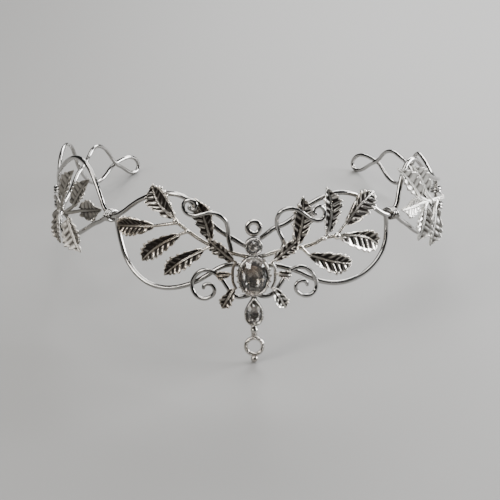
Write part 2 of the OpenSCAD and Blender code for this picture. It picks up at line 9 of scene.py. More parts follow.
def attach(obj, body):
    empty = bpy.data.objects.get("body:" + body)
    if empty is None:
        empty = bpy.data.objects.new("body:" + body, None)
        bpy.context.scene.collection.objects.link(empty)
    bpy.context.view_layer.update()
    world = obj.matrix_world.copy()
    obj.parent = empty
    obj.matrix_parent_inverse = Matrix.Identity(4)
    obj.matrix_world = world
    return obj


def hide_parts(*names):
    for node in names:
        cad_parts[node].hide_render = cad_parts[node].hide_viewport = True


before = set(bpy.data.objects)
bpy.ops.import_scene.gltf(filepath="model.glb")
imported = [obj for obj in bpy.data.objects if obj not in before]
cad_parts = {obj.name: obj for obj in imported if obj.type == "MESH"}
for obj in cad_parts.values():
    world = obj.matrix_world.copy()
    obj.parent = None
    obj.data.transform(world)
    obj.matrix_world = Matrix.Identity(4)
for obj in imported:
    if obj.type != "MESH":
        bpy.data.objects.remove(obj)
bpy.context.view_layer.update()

MM = 0.001
# Sides as they lie in the photograph: LEFT is the wearer's right, towards -X
LEFT, RIGHT = -1, 1

# The band, as in the part: arcs of its plan as (radius, heading at the end), its lean when it
# stands, and the shift that puts it on the table with the origin under its middle.
BAND_ARCS = [(67, 48), (154, 60), (58, 88), (120, 180)]
LEAN = math.radians(16)
LIFT = 47.883
SHIFT = -66.489
STAND = (Matrix.Translation((0, SHIFT * MM, LIFT * MM))
         @ Matrix.Rotation(math.radians(90) - LEAN, 4, "X") @ Matrix.Scale(MM, 4))

# Gauges of the wires in millimetres, and the share of it left at a scroll's spiral end
FRAME_WIRE = 1.8
ARM_WIRE = 1.7
SCROLL_WIRE = 1.65
SCROLL_TAPER = 0.86
WRAP_WIRE = 1.0
# Advance of a binding coil in one turn
WRAP_RISE = 1.12
# Outer faces of the frame wires from the band, and the shift of their lines that keeps them
FRAME_FACE = 0.75
FRAME_SHIFT = FRAME_FACE - FRAME_WIRE / 2
# Halves of a binding coil that goes round two rods: along the row of both, and across it
WRAP_LONG = FRAME_WIRE + 0.86
WRAP_SHORT = FRAME_WIRE / 2 + 1.0
TEMPLE_TURNS, REAR_TURNS = 3, 2.5
# Steps by which the end of a wire rounds over, as shares of its radius
ROUND_END = (0.4, 0.75, 0.99)


def plan(s):
    """Place on the plan of the band at the length s from the middle of the brow."""
    x = y = heading = 0.0
    for radius, end in BAND_ARCS:
        turn = math.radians(end) - heading
        step = min(turn, s / radius)
        x += radius * (math.sin(heading + step) - math.sin(heading))
        y += radius * (math.cos(heading) - math.cos(heading + step))
        heading += step
        s -= radius * step
        if s <= 1e-9:
            break
    return x, y, heading


def band_place(side, s, t, o):
    """World place of s along the band, t up across it and o outwards from it."""
    x, y, heading = plan(max(s, 0.0))
    x += math.sin(heading) * o + min(s, 0.0)
    return STAND @ Vector((side * x, t, math.cos(heading) * o - y))


# Wires of the brow frames as rows of s, t, o in millimetres
FRONT_UPPER = {
    LEFT: [(2.2, -8.8, 0), (4.4, -7.6, 0), (7, -6, 0), (10, -4.3, 0), (13.5, -1.8, 0),
           (17.5, 2.2, 0), (21.5, 6.2, 0), (26, 8.8, 0), (31.5, 9.3, 0), (37, 8.5, 0),
           (42, 6.7, 0), (47, 4, 0), (51.5, 1, 0.4), (55, -0.8, 1), (58, -1.4, 1.06),
           (60.6, -1.45, 1.06)],
    RIGHT: [(2.2, -6, 0), (4.4, -4.4, 0), (7.5, -2.2, 0), (11.2, -0.8, 0), (14.5, 1.4, 0),
            (17.8, 4.2, 0), (21.8, 6.5, 0), (26.3, 8.2, 0), (31, 9, 0), (36, 8.5, 0),
            (41, 6.7, 0), (46, 3.6, 0), (50.3, 0.5, 0.5), (54, -1.3, 1.06), (57.5, -1.5, 1.06),
            (60.2, -1.5, 1.06)]}
FRONT_LOWER = {
    LEFT: [(54.4, -0.5, 1), (55.2, -3.4, 0.4), (54.8, -7, 0), (53.5, -11, 0), (51.5, -15.5, 0),
           (48.2, -19.5, 0), (44, -22.6, 0), (39.6, -24.4, 0), (34.8, -25.1, 0), (30, -24.8, 0),
           (25, -23.5, 0), (20.6, -21.7, 0), (16.6, -19.3, 0), (12.8, -16.8, 0), (9, -15.3, 0),
           (5.6, -15.1, 0), (3.2, -15.7, 0)],
    RIGHT: [(53.6, -1.1, 1), (54.9, -3.6, 0.4), (55.6, -6.6, 0), (55.5, -9.8, 0),
            (54.2, -13.6, 0), (51.4, -17, 0), (47.5, -19.9, 0), (43, -22, 0), (38.2, -23.3, 0),
            (33.5, -23.8, 0), (29, -23.5, 0), (24.5, -22.4, 0), (20, -20.4, 0), (16, -18.3, 0),
            (12, -16.8, 0), (8.4, -15.8, 0), (5.4, -15.5, 0), (3.2, -15.8, 0)]}
# Wires of the temple frames
SIDE_UPPER = {
    LEFT: [(56.6, -1.4, -0.82), (59.5, -1.4, -0.82), (61.8, -0.9, -0.5), (63.6, 1.1, -0.1),
           (65.4, 4.4, 0), (67.6, 8, 0), (70.4, 11.8, 0), (74, 15.1, 0), (78.6, 17, 0),
           (84, 17.2, 0), (90, 15.6, 0), (96.5, 12.8, 0), (103.5, 9.8, 0), (109.4, 7.4, 0),
           (113.8, 4.8, 0), (116, 1.2, 0), (116.3, -2.6, 0), (116.3, -6.6, 0), (115.4, -9.8, 0),
           (112.6, -12.2, 0)],
    RIGHT: [(56.2, -1.5, -0.82), (59, -1.5, -0.82), (61, -0.8, -0.5), (62.4, 1.4, -0.1),
            (63.4, 4.8, 0), (64.8, 9.2, 0), (67, 13.4, 0), (70.6, 16.2, 0), (75, 16.6, 0),
            (79.4, 14.6, 0), (84, 11.2, 0), (89.5, 8.2, 0), (96, 6.2, 0), (103, 4.9, 0),
            (109.4, 3.9, -0.3), (114, 2.6, -0.7), (116.1, 0.2, -0.8), (116.3, -3.8, -0.5),
            (116.3, -8, 0), (115.4, -10.8, 0), (113, -12.8, 0)]}
SIDE_LOWER = {
    LEFT: [(61.2, -1.1, -0.6), (63.2, -2.9, -0.1), (66.5, -4.7, 0), (71, -6.4, 0), (76.5, -9, 0),
           (83, -11.8, 0), (90, -13.9, 0), (96, -14.6, 0), (102, -14.3, 0), (107.4, -13.5, 0),
           (112.6, -12.2, 0)],
    RIGHT: [(60.6, -1.1, -0.6), (62.2, -3, -0.1), (65, -5, 0), (69.6, -7.4, 0), (76, -10.8, 0),
            (82, -12.9, 0), (88, -13.9, 0), (94.5, -14.7, 0), (101.5, -14.8, 0),
            (107.8, -14.3, 0), (113, -12.8, 0)]}
# One wire makes a whole back arm: out over the first arch, round the end loop and back
END_LOOP = [(187, 0.1, 0.96), (191, 1.5, 0.4), (195, 2.3, 0), (198.8, 2, 0), (201.8, 0.4, 0),
            (203.1, -2, 0), (202.2, -4.2, 0), (199.3, -4.97, 0), (196.1, -4.1, 0),
            (193.3, -2.6, 0), (190.4, -1.2, -0.4), (187, 0.1, -0.96)]
ARM_OUT = {
    LEFT: [(118.15, -1.3, 0), (118.15, 0.8, 0), (118.3, 2.9, 0), (119, 6, 0), (121, 9.1, 0),
           (124.6, 11.8, 0), (129.4, 13.9, 0), (134.9, 15.2, 0), (140, 15.2, 0), (145, 13.5, 0),
           (150.2, 9.2, 0.4), (155.6, 3.3, 0.96), (159.6, -0.9, 0.5), (164, -4, 0),
           (169, -5.5, 0), (174, -5.3, 0), (178.6, -3.6, 0), (182.8, -1.5, 0.4)],
    RIGHT: [(118.15, -2.7, -0.7), (118.15, -0.8, -0.7), (118.8, 0.9, -0.7), (120.8, 2, -0.6),
            (124.4, 2.3, -0.3), (130.6, 2.9, 0), (137.2, 4.9, 0), (143.6, 7.2, 0),
            (149.6, 8.7, 0), (154.4, 7.2, 0.5), (158.4, 2.9, 0.96), (161.6, -1.4, 0.5),
            (165, -5, 0), (169.4, -7, 0), (174, -6.9, 0), (178.6, -5, 0), (182.8, -2.2, 0.4)]}
ARM_BACK = {
    LEFT: [(184.5, 2.6, -0.4), (181.5, 6.1, 0), (177.4, 9, 0), (172.8, 10.2, 0), (168, 9.3, 0),
           (163.9, 6.6, 0), (160, 4.5, -0.5), (155.6, 3.3, -0.96), (152, 1.8, -0.5),
           (148.8, -0.8, 0), (143.6, -4, 0), (136.2, -6.8, 0), (130, -8.4, 0), (125, -9.8, 0),
           (121.4, -10.8, 0), (119, -9.6, 0), (118.2, -7.4, 0), (118.15, -4.5, 0)],
    RIGHT: [(184.3, 1.8, -0.4), (181.4, 4.6, 0), (177.6, 6.2, 0), (173.2, 6.4, 0),
            (169, 5.3, 0), (165.2, 4.2, 0), (162, 3.7, -0.5), (158.4, 2.9, -0.96),
            (154.4, 0.2, -0.5), (150, -3.6, 0), (144.6, -6.8, 0), (138, -8.6, 0),
            (131.5, -9.9, 0), (126, -11.5, 0), (122.2, -12.9, 0), (119.6, -12.4, 0),
            (118.3, -10.4, 0), (118.15, -8.2, 0), (118.15, -5.6, -0.3)]}
# Scrolls, which lie on the brow frames
UPPER_SCROLL = {
    LEFT: [(7.4, -10.4, 1.6), (7.8, -9, 1.55), (8.2, -7.4, 1.55), (8.6, -5.6, 1.55),
           (8.7, -3.6, 1.6), (8.8, -1.6, 1.9), (9.2, 0.4, 2.7), (10.4, 2.2, 3.3),
           (12.4, 3.5, 3.6), (14.8, 3.9, 3.6), (17.4, 3.3, 3.6), (19.8, 2.7, 3.6),
           (22.2, 3.2, 3.6), (23.7, 5, 3.6), (23.5, 7, 3.6), (21.9, 8.1, 3.6), (20, 7.7, 3.6),
           (19.2, 6.2, 3.6), (20, 4.9, 3.7), (21.4, 5.2, 3.8), (21.7, 6.3, 3.9)],
    RIGHT: [(9.6, -9.9, 1.75), (10.3, -7.7, 1.75), (9.8, -5.6, 1.7), (9, -3.8, 1.6),
            (8.3, -1.9, 1.6), (7.9, 0.4, 1.9), (8.2, 2.6, 2.8), (9.3, 4.3, 3.4),
            (11.2, 5.1, 3.6), (13.6, 5, 3.6), (15.9, 3.9, 3.6), (18, 2.3, 3.6), (20, 0.9, 3.6),
            (22.2, 0.3, 3.6), (23.9, 1.2, 3.6), (24.4, 3, 3.6), (23.6, 4.8, 3.6),
            (22, 5.5, 3.7), (20.6, 4.6, 3.7), (20.5, 3.1, 3.8), (21.6, 2.6, 3.9)]}
LOWER_SCROLL = {
    LEFT: [(1.2, -25.8, 1.6), (3.3, -26.2, 1.9), (5.6, -26.4, 1.9), (7.6, -25.2, 1.8),
           (9.2, -23, 1.7), (10.7, -20.7, 1.6), (12.6, -18.7, 1.55), (14.9, -17.4, 1.55),
           (17.2, -17.1, 1.55), (19.4, -18.1, 1.55), (21, -20, 1.55), (21.8, -22.3, 1.55),
           (21.4, -24.8, 1.6), (19.8, -26.7, 1.8), (17.5, -27.4, 2), (15.2, -26.7, 2.1),
           (13.7, -25, 2.2), (13.8, -23, 2.3), (15.4, -21.9, 2.4), (17.1, -22.5, 2.5),
           (17.5, -23.9, 2.6)],
    RIGHT: [(1.2, -25.8, 1.6), (3.3, -26.2, 1.9), (5.4, -26, 1.9), (7.4, -24.4, 1.8),
            (9, -22.3, 1.7), (10.6, -19.8, 1.6), (12.4, -17.6, 1.6), (14.8, -16.4, 1.6),
            (17.1, -16.3, 1.6), (19.3, -17.4, 1.6), (21, -19.2, 1.6), (22, -21.6, 1.6),
            (22.1, -24.2, 1.6), (20.8, -26.1, 1.8), (18.5, -26.8, 2), (16.2, -26, 2.1),
            (14.6, -24.2, 2.2), (14.7, -22.2, 2.3), (16.3, -21.1, 2.4), (18.1, -21.6, 2.5),
            (18.7, -23.2, 2.6)]}
# Main stems of the sprigs
FRONT_STEM = {
    LEFT: [(1.4, -12.1, 1.6), (3.9, -11.5, 1.8), (6.6, -10.8, 1.8), (9.5, -9.9, 1.7),
           (12.5, -8.9, 1.7), (15.4, -7.8, 1.7), (19, -5.9, 1.7), (23.2, -3.2, 1.6),
           (27.6, 0, 1.5)],
    RIGHT: [(1.4, -12.1, 1.6), (3.9, -11.5, 1.8), (6.8, -10.6, 1.8), (9.6, -10, 1.7),
            (12.8, -9.6, 1.7), (17.1, -9.1, 1.7), (21.6, -8, 1.7), (25, -6.5, 1.6),
            (30, -6.2, 1.6)]}
SIDE_STEM = {
    LEFT: [(116, -2.7, 1.62), (111.5, -2.2, 1.7), (105.5, -1, 1.8), (99, -1.4, 1.9),
           (94.5, -3.4, 1.9), (91, -5.2, 1.9)],
    RIGHT: [(116, -3.8, 1.62), (109.5, -3.2, 1.7), (102, -2.2, 1.8), (94.5, -1.3, 1.9),
            (87.5, -0.8, 1.9), (82, -0.4, 1.9)]}
# Leaves: stalk start (s, t), blade base (s, t), tip (s, t), width, roll in degrees, outward
# places of base and tip, sideways bow, share by which the midrib lies off the middle, where
# along the blade it is widest, and how far its margins stand up
FRONT_LEAVES = {
    LEFT: [((27.4, -0.2), (27.9, 1.2), (36.8, 12.55), 9.4, -6, 1.6, 1.2, -0.7, -0.2, 0.5, 1.5),
           ((26.8, -0.6), (36.1, -2.4), (52.9, -3.9), 8, 8, 1.9, 2.3, 0, 0, 0.46, 1.6),
           ((23, -3.4), (25.9, -4.7), (41.3, -15.6), 7.2, 12, 1.8, 2.2, 0.8, 0, 0.5, 1.7),
           ((14.4, -8.2), (17.4, -9.7), (32.1, -19.9), 7, 14, 1.8, 2.4, 0.7, 0, 0.46, 1.7),
           ((14.2, -8.2), (14.8, -6.2), (20.6, 8.6), 7.6, 0, 1.6, 1.3, 0.9, 0, 0.46, 0.8)],
    RIGHT: [((29.8, -6.2), (33.5, -2.1), (46.6, 8.3), 9, -8, 1.8, 1.4, 1.3, 0, 0.5, 1.7),
            ((29.6, -6.2), (31, -6.4), (48.1, -11.6), 8.8, 10, 1.9, 2.4, 0.6, 0.3, 0.5, 1.8),
            ((16.6, -9.2), (19.6, -12.3), (36, -16.6), 8.6, 12, 1.9, 2.5, -1, 0.14, 0.46, 1.8),
            ((25, -6.6), (26.3, -4.9), (26.1, 11.7), 7.6, -3, 1.7, 1.3, -1.5, 0, 0.5, 1.2),
            ((14.4, -9.4), (15.1, -8), (17.3, 9), 8.2, 0, 1.5, 1.3, -0.7, 0, 0.46, 0.8)]}
SIDE_LEAVES = {
    LEFT: [((95, -3.2), (92, 0.8), (81.8, 12.9), 6.6, -6, 1.9, 1.9, 0, 0, 0.46, 1.2),
           ((91.4, -5), (82.8, -1), (70.3, 10.7), 6.8, -12, 1.9, 1.9, 0, 0, 0.46, 1.3),
           ((91.2, -5.2), (76.4, -1.9), (61.5, 0.6), 8.8, -8, 2, 2.5, 0, 0, 0.46, 1.4),
           ((91.3, -5), (86.4, -6.2), (75.8, -17.6), 7.4, 40, 2.6, 3.2, 0, 0, 0.46, 1.4),
           ((98.4, -1.6), (99, -4.5), (98.4, -18.2), 6.4, 10, 1.9, 1.9, 0, 0, 0.46, 1.3)],
    RIGHT: [((87, -0.8), (81.8, 2.6), (69.6, 14.9), 7, -16, 2, 2.1, 0, 0, 0.46, 1.3),
            ((82.6, -0.4), (75.4, 2.2), (59.4, 15.2), 7, -16, 2.2, 2.1, 0, 0, 0.46, 1.3),
            ((82.4, -0.4), (75, -0.3), (61.2, -0.5), 8, -8, 2.2, 2.8, 0, 0, 0.46, 1.5),
            ((83, -0.5), (79.6, -1.9), (73.4, -14), 7.2, 38, 2.4, 3, 0, 0, 0.46, 1.4),
            ((93.2, -1.2), (90.4, -4.2), (85.6, -18.4), 6.8, 22, 2, 2.1, 0, 0, 0.46, 1.3)]}
# Patterns of the leaves: ribs a side, relief left in the slots between them, and share of the
# relief left on the upper half, which darkens that half as painted shade; the brow sprig on the
# wearer's left gets less of it
BROW_RIBS = {LEFT: (8, 0.0, 0.57), RIGHT: (7, 0.0, 0.68)}
TEMPLE_RIBS = (6, 0.36, 0.85)
FAN_RIBS = (5, 0.1, 0.8)
# Halves of a blade above and below its midrib: shift of the ribs, depth of the notches between
# their teeth, where the margin begins to round over, middle and breadth of its roll as shares
# of the half width, and height of the roll
UPPER_HALF = (0.0, 0.25, 0.78, 0.82, 0.11, 0.6)
LOWER_HALF = (0.35, 0.3, 0.9, 0.91, 0.08, 0.3)
# Cast blade in millimetres: half width left at its ends, half width that takes the full relief,
# thickness, arch along it, half width and height of the midrib, depth of the groove on it and
# of the trenches beside it, and height of the ribs
BLADE_LEAST, BLADE_FULL, BLADE_THICK, BLADE_ARCH = 0.25, 1.6, 0.4, 0.6
MIDRIB_HALF, MIDRIB_RISE, MIDRIB_GROOVE, TRENCH = 0.56, 0.55, 0.2, 0.2
RIB_RISE = 0.5
# How far off a stem's line its two strands lie
STRAND_OFFSET = 0.34
# Gauges of the strands, and of the branch and the stalks of a centre fan
BROW_STRAND, TEMPLE_STRAND, FAN_BRANCH, FAN_STALK = 0.98, 1.2, 1.1, 0.95
# Gauge of a sprig's stalk as a multiple of its strand's, and the shares left at their ends
STALK_SHARE, STEM_TAPER, STALK_TAPER = 1.38, 0.72, 0.7
# Length of a stalk's end under the midrib, and how far outwards it rises there
STALK_REACH, STALK_LIFT = 2.6, 0.15
KNOT_RADIUS = 0.88
# Large solder knots of the brow sprigs: s, t, o and radius
BROW_KNOTS = {LEFT: [(27.4, 0.0, 1.9, 1.15)], RIGHT: [(30, -6.2, 2.0, 1.3)]}
# Leaves and branch of a centre fan
CENTRE_LEAVES = [((5.9, -13.4), (6.9, -13.1), (15.6, -5.4), 5.6, 8, 3.5, 3.2, 0, 0, 0.46, 0.8),
                 ((7.1, -17.6), (8, -17.9), (13, -18.6), 3.8, 0, 3.5, 3.2, 0, 0, 0.46, 0.8),
                 ((5.9, -23.2), (6.8, -23.2), (11, -30.6), 5, -8, 3.5, 3, 0, 0, 0.46, 0.8)]
CENTRE_BRANCH = [(5.8, -13.2, 3.1), (6.95, -15.6, 3.1), (7.15, -18.4, 3.1), (6.95, -21, 3.1),
                 (5.8, -23.4, 3.1)]
# Binding coils: the place s, t, o of their middle
TEMPLE_WRAP = {LEFT: (58.9, -1.45, 0), RIGHT: (58.1, -1.5, 0)}
REAR_WRAPS = {LEFT: [(117.2, 0.1, 0), (117.2, -5.8, 0)],
              RIGHT: [(117.2, -1.5, -0.65), (117.2, -7.9, 0)]}


# Materials

def link(tree, source, target):
    """Link from a node's output to an input."""
    tree.links.new(source, target)


def new_group(name, inputs, outputs):
    """Shader node group with named inputs as (name, kind, value) and outputs."""
    group = bpy.data.node_groups.new(name, "ShaderNodeTree")
    for label, kind, value in inputs:
        socket = group.interface.new_socket(label, in_out="INPUT", socket_type=kind)
        socket.default_value = value
    for label, kind in outputs:
        group.interface.new_socket(label, in_out="OUTPUT", socket_type=kind)
    start = group.nodes.new("NodeGroupInput")
    end = group.nodes.new("NodeGroupOutput")
    return group, start, end


def math_node(tree, operation, first, second, clamp=False):
    """Output of a Math node on two numbers or outputs."""
    node = tree.nodes.new("ShaderNodeMath")
    node.operation = operation
    node.use_clamp = clamp
    for socket, value in zip(node.inputs, (first, second)):
        if isinstance(value, (int, float)):
            socket.default_value = value
        else:
            link(tree, value, socket)
    return node.outputs[0]


def noise_node(tree, scale, detail, roughness=0.55):
    """Noise on the piece's own place, in features per metre."""
    places = tree.nodes.new("ShaderNodeTexCoord")
    node = tree.nodes.new("ShaderNodeTexNoise")
    node.inputs["Scale"].default_value = scale
    node.inputs["Detail"].default_value = detail
    node.inputs["Roughness"].default_value = roughness
    link(tree, places.outputs["Object"], node.inputs["Vector"])
    return node.outputs["Fac"]


def antique_group():
    """Silver that is bright where Relief is high and keeps its dark patina where it is low; on
    the leaves' upper halves the lowered Relief is painted shade.
    """
    group, start, end = new_group(
        "antiqued_silver",
        [("Relief", "NodeSocketFloat", 1.0), ("Threshold", "NodeSocketFloat", 0.4),
         ("Softness", "NodeSocketFloat", 0.3), ("Bright", "NodeSocketColor", (0.8, 0.8, 0.8, 1)),
         ("Dull", "NodeSocketColor", (0.4, 0.4, 0.4, 1)),
         ("Patina", "NodeSocketColor", (0.03, 0.03, 0.03, 1)),
         ("Polish", "NodeSocketFloat", 0.2), ("Patina Roughness", "NodeSocketFloat", 0.6)],
        [("Color", "NodeSocketColor"), ("Roughness", "NodeSocketFloat"),
         ("Metallic", "NodeSocketFloat"), ("Height", "NodeSocketFloat")])
    clouds = noise_node(group, 260, 4)
    grain = noise_node(group, 2600, 3, 0.6)
    patches = noise_node(group, 75, 3)
    jitter = math_node(group, "MULTIPLY", math_node(group, "SUBTRACT", clouds, 0.5), 0.55)
    speckle = math_node(group, "MULTIPLY", math_node(group, "SUBTRACT", grain, 0.5), 0.3)
    level = math_node(group, "ADD", math_node(group, "ADD", start.outputs["Relief"], jitter),
                      speckle)
    over = math_node(group, "SUBTRACT", level, start.outputs["Threshold"])
    worn = math_node(group, "DIVIDE", over, start.outputs["Softness"], clamp=True)

    tone = group.nodes.new("ShaderNodeMix")
    tone.data_type = "RGBA"
    stretch = math_node(group, "MULTIPLY", math_node(group, "SUBTRACT", patches, 0.36), 3.2,
                        clamp=True)
    link(group, stretch, tone.inputs["Factor"])
    link(group, start.outputs["Dull"], tone.inputs["A"])
    link(group, start.outputs["Bright"], tone.inputs["B"])
    shade = group.nodes.new("ShaderNodeMix")
    shade.data_type = "RGBA"
    link(group, worn, shade.inputs["Factor"])
    link(group, start.outputs["Patina"], shade.inputs["A"])
    link(group, tone.outputs["Result"], shade.inputs["B"])
    link(group, shade.outputs["Result"], end.inputs["Color"])

    spread = math_node(group, "SUBTRACT", start.outputs["Polish"],
                       start.outputs["Patina Roughness"])
    gloss = math_node(group, "ADD", start.outputs["Patina Roughness"],
                      math_node(group, "MULTIPLY", spread, worn))
    cloudy = math_node(group, "MULTIPLY", math_node(group, "SUBTRACT", clouds, 0.5), 0.16)
    link(group, math_node(group, "ADD", gloss, cloudy, clamp=True), end.inputs["Roughness"])
    link(group, math_node(group, "ADD", 0.55, math_node(group, "MULTIPLY", worn, 0.45)),
         end.inputs["Metallic"])
    link(group, math_node(group, "ADD", grain, math_node(group, "MULTIPLY", clouds, 1.5)),
         end.inputs["Height"])
    return group


ANTIQUE = antique_group()


def silver(name, threshold, softness, bright, dull, patina, polish, patina_roughness, bump):
    """Antiqued silver: its relief is the piece's own attribute of that name."""
    material = bpy.data.materials.new(name)
    material.use_nodes = True
    tree = material.node_tree
    shader = tree.nodes["Principled BSDF"]
    relief = tree.nodes.new("ShaderNodeAttribute")
    relief.attribute_name = "relief"
    effect = tree.nodes.new("ShaderNodeGroup")
    effect.node_tree = ANTIQUE
    link(tree, relief.outputs["Fac"], effect.inputs["Relief"])
    for label, value in (("Threshold", threshold), ("Softness", softness),
                         ("Polish", polish), ("Patina Roughness", patina_roughness)):
        effect.inputs[label].default_value = value
    for label, value in (("Bright", bright), ("Dull", dull), ("Patina", patina)):
        effect.inputs[label].default_value = (*value, 1)
    link(tree, effect.outputs["Color"], shader.inputs["Base Color"])
    link(tree, effect.outputs["Roughness"], shader.inputs["Roughness"])
    link(tree, effect.outputs["Metallic"], shader.inputs["Metallic"])
    surface = tree.nodes.new("ShaderNodeBump")
    surface.inputs["Strength"].default_value = bump
    surface.inputs["Distance"].default_value = 0.0002
    link(tree, effect.outputs["Height"], surface.inputs["Height"])
    link(tree, surface.outputs["Normal"], shader.inputs["Normal"])
    return material


def clear_stone(name, tint):
    """Clear stone with a faint veil of the tint in it."""
    material = bpy.data.materials.new(name)
    material.use_nodes = True
    tree = material.node_tree
    shader = tree.nodes["Principled BSDF"]
    shader.inputs["Transmission Weight"].default_value = 0.975
    shader.inputs["IOR"].default_value = 1.7
    shader.inputs["Roughness"].default_value = 0.0
    smoke = tree.nodes.new("ShaderNodeMix")
    smoke.data_type = "RGBA"
    smoke.inputs["A"].default_value = (0.97, 0.96, 0.94, 1)
    smoke.inputs["B"].default_value = (*tint, 1)
    veil = math_node(tree, "MULTIPLY",
                     math_node(tree, "SUBTRACT", noise_node(tree, 190, 2), 0.42), 3.0,
                     clamp=True)
    link(tree, veil, smoke.inputs["Factor"])
    link(tree, smoke.outputs["Result"], shader.inputs["Base Color"])
    return material


# Threshold and softness of the wear, bright, dull and patina colours, polish, roughness of the
# patina, and strength of the bumps
WIRE_SILVER = silver("polished_wire", 0.35, 0.3, (0.50, 0.49, 0.475), (0.33, 0.32, 0.305),
                     (0.07, 0.06, 0.052), 0.17, 0.42, 0.03)
# Lit and shaded copies of one leaf silver: the sprigs on the RIGHT side, the wearer's left,
# are painted lighter as painted light, and those on the wearer's right darker as painted shade
BROW_SILVER = {
    LEFT: silver("shaded_brow_leaf_silver", 0.42, 0.4, (0.78, 0.74, 0.68), (0.42, 0.37, 0.31),
                 (0.018, 0.013, 0.010), 0.24, 0.55, 0.3),
    RIGHT: silver("lit_brow_leaf_silver", 0.4, 0.36, (0.96, 0.94, 0.9), (0.6, 0.55, 0.48),
                  (0.018, 0.013, 0.010), 0.24, 0.55, 0.3)}
# Lit and shaded copies of one leaf silver for the temple sprigs: the RIGHT side, the wearer's
# left, is painted much lighter as painted light, the wearer's right darker as painted shade
TEMPLE_SILVER = {
    LEFT: silver("shaded_temple_leaf_silver", 0.3, 0.5, (0.44, 0.42, 0.385), (0.28, 0.262, 0.235),
                 (0.025, 0.021, 0.017), 0.36, 0.55, 0.3),
    RIGHT: silver("lit_temple_leaf_silver", 0.3, 0.5, (0.9, 0.89, 0.86), (0.7, 0.68, 0.64),
                  (0.045, 0.038, 0.03), 0.42, 0.55, 0.3)}
SETTING_SILVER = silver("setting_silver", 0.45, 0.35, (0.72, 0.70, 0.67), (0.44, 0.41, 0.37),
                        (0.030, 0.024, 0.019), 0.18, 0.5, 0.2)
STONE = clear_stone("clear_stone", (0.90, 0.70, 0.56))


# Pieces

# Vertices nearer than this are merged, in metres: anywhere, and where a leaf's halves meet
SAME_PLACE, LEAF_MARGIN = 1e-7, 2e-6


def finish_piece(name, bm, material, node, smooth=True):
    """Makes the piece from its bmesh, and puts it in the place of the part's own node."""
    bmesh.ops.remove_doubles(bm, verts=bm.verts, dist=SAME_PLACE)
    bmesh.ops.recalc_face_normals(bm, faces=bm.faces)
    mesh = bpy.data.meshes.new(name)
    bm.to_mesh(mesh)
    bm.free()
    for face in mesh.polygons:
        face.use_smooth = smooth
    mesh.materials.append(material)
    piece = bpy.data.objects.new(name, mesh)
    bpy.context.scene.collection.objects.link(piece)
    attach(piece, "root")
    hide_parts(node)


def relief_layer(bm):
    """Layer that becomes the attribute relief: 1 on what is rubbed bright, 0 in recesses, and
    lowered on the leaves' upper halves as painted shade.
    """
    return bm.verts.layers.float.get("relief") or bm.verts.layers.float.new("relief")


def added(bm, before, relief):
    """Vertices that aren't among those before, with their relief set."""
    layer = relief_layer(bm)
    fresh = [vert for vert in bm.verts if vert not in before]
    for vert in fresh:
        vert[layer] = relief
    return fresh


def add_wire(bm, places, gauge, end_gauge=None, relief=1.0, roundness=4, smooth=8):
    """Round wire with rounded ends through the places, as a bevelled curve."""
    end_gauge = end_gauge or gauge
    curve = bpy.data.curves.new("wire", "CURVE")
    curve.dimensions = "3D"
    curve.resolution_u = smooth
    curve.bevel_mode = "ROUND"
    curve.bevel_depth = MM / 2
    curve.bevel_resolution = roundness
    curve.use_fill_caps = True
    first, last = places[0] - places[1], places[-1] - places[-2]
    first.normalize()
    last.normalize()
    rows = []
    for step in reversed(ROUND_END):
        rows.append((places[0] + first * gauge * MM / 2 * (step - 1),
                     gauge * math.sqrt(1 - step * step)))
    for i, place in enumerate(places[1:-1], 1):
        rows.append((place, gauge + (end_gauge - gauge) * i / (len(places) - 1)))
    for step in ROUND_END:
        rows.append((places[-1] + last * end_gauge * MM / 2 * (step - 1),
                     end_gauge * math.sqrt(1 - step * step)))
    spline = curve.splines.new("BEZIER")
    spline.bezier_points.add(len(rows) - 1)
    for point, (place, size) in zip(spline.bezier_points, rows):
        point.co = place
        point.radius = size
        point.handle_left_type = point.handle_right_type = "AUTO"
    shape = bpy.data.objects.new("wire", curve)
    bpy.context.scene.collection.objects.link(shape)
    graph = bpy.context.evaluated_depsgraph_get()
    mesh = bpy.data.meshes.new_from_object(shape.evaluated_get(graph))
    relief_layer(bm)
    before = set(bm.verts)
    bm.from_mesh(mesh)
    added(bm, before, relief)
    bpy.data.objects.remove(shape)
    bpy.data.curves.remove(curve)
    bpy.data.meshes.remove(mesh)


def along_band(side, rows):
    """World places of rows of s, t, o."""
    return [band_place(side, *row) for row in rows]


def wire_piece(name, side, strands, gauge, node, end_gauge=None, shift=0.0):
    """Piece of one or more round wires, moved outwards by the shift."""
    bm = bmesh.new()
    for rows in strands:
        places = [(s, t, o + shift) for s, t, o in rows]
        add_wire(bm, along_band(side, places), gauge, end_gauge)
    finish_piece(name, bm, WIRE_SILVER, node)


def wrap_piece(name, side, centre, turns, half_out, half_across, node, upright=False):
    """Binding coil round the rods at centre: a helix flattened to their outline."""
    steps = 16
    rows = []
    for i in range(int(turns * steps) + 1):
        turn = math.radians(360 * i / steps)
        run = (i / steps - turns / 2) * WRAP_RISE
        across, out = half_across * math.sin(turn), half_out * math.cos(turn)
        shift = (across, run, out) if upright else (run, across, out)
        rows.append([c + d for c, d in zip(centre, shift)])
    bm = bmesh.new()
    add_wire(bm, along_band(side, rows), WRAP_WIRE, smooth=3, roundness=3)
    finish_piece(name, bm, WIRE_SILVER, node)


def add_ball(bm, matrix, segments=16):
    """Bright ball of radius 1 under the matrix."""
    layer = relief_layer(bm)
    made = bmesh.ops.create_uvsphere(bm, u_segments=segments, v_segments=segments // 2 + 2,
                                     radius=1, matrix=matrix)
    for vert in made["verts"]:
        vert[layer] = 1.0


def edges_of(verts):
    """Edges at the vertices, each once and always in the same order."""
    return list(dict.fromkeys(edge for vert in verts for edge in vert.link_edges))


# Leaves

